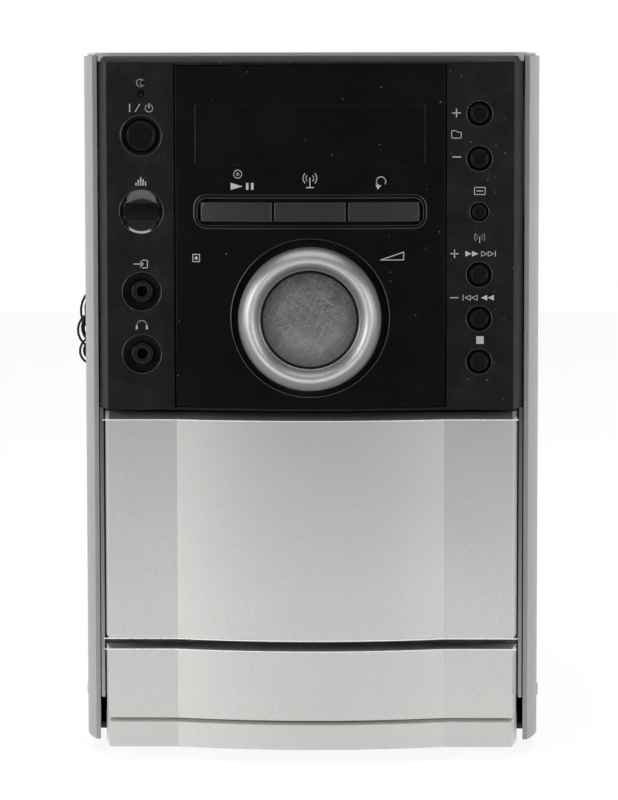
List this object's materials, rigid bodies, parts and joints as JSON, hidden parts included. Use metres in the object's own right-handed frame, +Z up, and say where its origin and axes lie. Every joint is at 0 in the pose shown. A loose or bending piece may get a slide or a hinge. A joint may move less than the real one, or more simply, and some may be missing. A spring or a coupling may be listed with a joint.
{
  "type": "micro hi-fi system",
  "caption": "Upright compact stereo unit with a disc lid on top, a bowed black control fascia with a large volume knob, a silver cassette door and a flap over the tape keys.",
  "frame": {"origin": "on the floor, under the middle of the body's outer box", "axes": "+Z up, the front faces -Y, +X is to the right seen from the front"},
  "size_m": [0.1767, 0.2634, 0.2403],
  "materials": {
    "silver": "satin silver paint",
    "matte_black": "fine matte",
    "gloss_black": "glossy",
    "dark_grey": "satin",
    "knob_silver": "satin metallised",
    "smoke": "dark display filter",
    "steel": "bare steel",
    "rubber": "soft matte",
    "green_board": "solder mask",
    "aluminium": "plain",
    "copper": "enamelled winding",
    "red_lens": "clear tinted",
    "white": "plain"
  },
  "bodies": {
    "cabinet": {"front_fascia": "matte_black", "window_panel": "gloss_black", "display_module": "smoke", "standby_lens": "red_lens", "front_circuit_board": "green_board", "audio_in_jack": "dark_grey", "phones_jack": "dark_grey", "volume_encoder": "steel", "lower_frame": "silver", "tape_deck_frame": "steel", "tape_motor": "steel", "left_side_panel": "silver", "right_side_panel": "silver", "top_cover": "silver", "disc_drive": "steel", "base_tray": "dark_grey", "front_left_foot": "rubber", "front_right_foot": "rubber", "rear_left_foot": "rubber", "rear_right_foot": "rubber", "main_circuit_board": "green_board", "amplifier_heatsink": "aluminium", "power_transformer": "copper", "rear_panel": "matte_black", "antenna_terminal_block": "dark_grey", "speaker_terminal_block": "dark_grey", "mains_cord_gland": "rubber", "antenna_wire_plug": "rubber", "antenna_wire_lead": "rubber", "antenna_wire_hank": "rubber"},
    "door": {"cassette_door": "silver", "cassette_holder": "matte_black"},
    "flap": {"key_flap": "silver"},
    "lid": {"disc_lid": "silver"},
    "knob": {"volume_knob": "knob_silver", "knob_cap": "dark_grey"},
    "left_reel": {"left_reel": "white"},
    "right_reel": {"right_reel": "white"},
    "capstan": {"capstan_flywheel": "steel"},
    "head_carriage": {"head_carriage": "steel"},
    "pinch_roller": {"pinch_roller": "rubber"},
    "turntable": {"disc_turntable": "matte_black"},
    "pickup": {"pickup_sled": "dark_grey"},
    "power_button": {"power_button": "dark_grey"},
    "bass_button": {"bass_button": "dark_grey"},
    "folder_up_button": {"folder_up_button": "dark_grey"},
    "folder_down_button": {"folder_down_button": "dark_grey"},
    "display_button": {"display_button": "dark_grey"},
    "tuning_up_button": {"tuning_up_button": "dark_grey"},
    "tuning_down_button": {"tuning_down_button": "dark_grey"},
    "stop_button": {"stop_button": "dark_grey"},
    "disc_play_button": {"disc_play_button": "dark_grey"},
    "band_button": {"band_button": "dark_grey"},
    "function_button": {"function_button": "dark_grey"},
    "record_key": {"record_key": "dark_grey"},
    "play_key": {"play_key": "dark_grey"},
    "rewind_key": {"rewind_key": "dark_grey"},
    "fast_forward_key": {"fast_forward_key": "dark_grey"},
    "stop_eject_key": {"stop_eject_key": "dark_grey"},
    "pause_key": {"pause_key": "dark_grey"}
  },
  "joints": [
    {"name": "lid_hinge", "type": "hinge", "parent": "cabinet", "child": "lid", "pos_m": [0, 0.0619, 0.2371], "axis": [-1, 0, 0], "range_deg": [0, 70]},
    {"name": "door_hinge", "type": "hinge", "parent": "cabinet", "child": "door", "pos_m": [0, -0.0928, 0.0459], "axis": [1, 0, 0], "range_deg": [0, 18]},
    {"name": "flap_hinge", "type": "hinge", "parent": "cabinet", "child": "flap", "pos_m": [0, -0.098, 0.0065], "axis": [1, 0, 0], "range_deg": [0, 75]},
    {"name": "volume_turn", "type": "hinge", "parent": "cabinet", "child": "knob", "pos_m": [0, -0.1, 0.15122], "axis": [0, -1, 0], "continuous": true},
    {"name": "left_reel_spin", "type": "hinge", "parent": "cabinet", "child": "left_reel", "pos_m": [-0.02125, -0.08, 0.0779], "axis": [0, -1, 0], "continuous": true},
    {"name": "right_reel_spin", "type": "hinge", "parent": "cabinet", "child": "right_reel", "pos_m": [0.02125, -0.08, 0.0779], "axis": [0, -1, 0], "continuous": true},
    {"name": "capstan_spin", "type": "hinge", "parent": "cabinet", "child": "capstan", "pos_m": [0.031, -0.08, 0.0559], "axis": [0, -1, 0], "continuous": true},
    {"name": "turntable_spin", "type": "hinge", "parent": "cabinet", "child": "turntable", "pos_m": [0, -0.0041, 0.222], "axis": [0, 0, 1], "continuous": true},
    {"name": "pickup_travel", "type": "slide", "parent": "cabinet", "child": "pickup", "axis": [0, -1, 0], "range_m": [0, 0.03]},
    {"name": "power_button_press", "type": "slide", "parent": "cabinet", "child": "power_button", "axis": [0, 1, 0], "range_m": [0, 0.001], "stiffness_N_per_m": 400, "springref_m": -0.001},
    {"name": "bass_button_press", "type": "slide", "parent": "cabinet", "child": "bass_button", "axis": [0, 1, 0], "range_m": [0, 0.001], "stiffness_N_per_m": 400, "springref_m": -0.001},
    {"name": "folder_up_button_press", "type": "slide", "parent": "cabinet", "child": "folder_up_button", "axis": [0, 1, 0], "range_m": [0, 0.001], "stiffness_N_per_m": 400, "springref_m": -0.001},
    {"name": "folder_down_button_press", "type": "slide", "parent": "cabinet", "child": "folder_down_button", "axis": [0, 1, 0], "range_m": [0, 0.001], "stiffness_N_per_m": 400, "springref_m": -0.001},
    {"name": "display_button_press", "type": "slide", "parent": "cabinet", "child": "display_button", "axis": [0, 1, 0], "range_m": [0, 0.001], "stiffness_N_per_m": 400, "springref_m": -0.001},
    {"name": "tuning_up_button_press", "type": "slide", "parent": "cabinet", "child": "tuning_up_button", "axis": [0, 1, 0], "range_m": [0, 0.001], "stiffness_N_per_m": 400, "springref_m": -0.001},
    {"name": "tuning_down_button_press", "type": "slide", "parent": "cabinet", "child": "tuning_down_button", "axis": [0, 1, 0], "range_m": [0, 0.001], "stiffness_N_per_m": 400, "springref_m": -0.001},
    {"name": "stop_button_press", "type": "slide", "parent": "cabinet", "child": "stop_button", "axis": [0, 1, 0], "range_m": [0, 0.001], "stiffness_N_per_m": 400, "springref_m": -0.001},
    {"name": "disc_play_button_press", "type": "slide", "parent": "cabinet", "child": "disc_play_button", "axis": [0, 1, 0], "range_m": [0, 0.0008], "stiffness_N_per_m": 400, "springref_m": -0.001},
    {"name": "band_button_press", "type": "slide", "parent": "cabinet", "child": "band_button", "axis": [0, 1, 0], "range_m": [0, 0.0008], "stiffness_N_per_m": 400, "springref_m": -0.001},
    {"name": "function_button_press", "type": "slide", "parent": "cabinet", "child": "function_button", "axis": [0, 1, 0], "range_m": [0, 0.0008], "stiffness_N_per_m": 400, "springref_m": -0.001},
    {"name": "record_key_press", "type": "hinge", "parent": "cabinet", "child": "record_key", "pos_m": [0, -0.043, 0.0275], "axis": [1, 0, 0], "range_deg": [0, 6], "stiffness_Nm_per_rad": 0.3, "springref_deg": -5.73},
    {"name": "play_key_press", "type": "hinge", "parent": "cabinet", "child": "play_key", "pos_m": [0, -0.043, 0.0275], "axis": [1, 0, 0], "range_deg": [0, 6], "stiffness_Nm_per_rad": 0.3, "springref_deg": -5.73},
    {"name": "rewind_key_press", "type": "hinge", "parent": "cabinet", "child": "rewind_key", "pos_m": [0, -0.043, 0.0275], "axis": [1, 0, 0], "range_deg": [0, 6], "stiffness_Nm_per_rad": 0.3, "springref_deg": -5.73},
    {"name": "fast_forward_key_press", "type": "hinge", "parent": "cabinet", "child": "fast_forward_key", "pos_m": [0, -0.043, 0.0275], "axis": [1, 0, 0], "range_deg": [0, 6], "stiffness_Nm_per_rad": 0.3, "springref_deg": -5.73},
    {"name": "stop_eject_key_press", "type": "hinge", "parent": "cabinet", "child": "stop_eject_key", "pos_m": [0, -0.043, 0.0275], "axis": [1, 0, 0], "range_deg": [0, 6], "stiffness_Nm_per_rad": 0.3, "springref_deg": -5.73},
    {"name": "pause_key_press", "type": "hinge", "parent": "cabinet", "child": "pause_key", "pos_m": [0, -0.043, 0.0275], "axis": [1, 0, 0], "range_deg": [0, 6], "stiffness_Nm_per_rad": 0.3, "springref_deg": -5.73},
    {"name": "head_lift", "type": "slide", "parent": "cabinet", "child": "head_carriage", "axis": [0, 0, 1], "range_m": [0, 0.00401]},
    {"name": "pinch_swing", "type": "hinge", "parent": "cabinet", "child": "pinch_roller", "pos_m": [0.045, -0.079, 0.0475], "axis": [0, 1, 0], "range_deg": [0, 16.1]}
  ],
  "couplings": [
    {"joint": "head_lift", "follows": "play_key_press", "m_per_rad": 0.0382},
    {"joint": "pinch_swing", "follows": "play_key_press", "ratio": 2.6667}
  ]
}
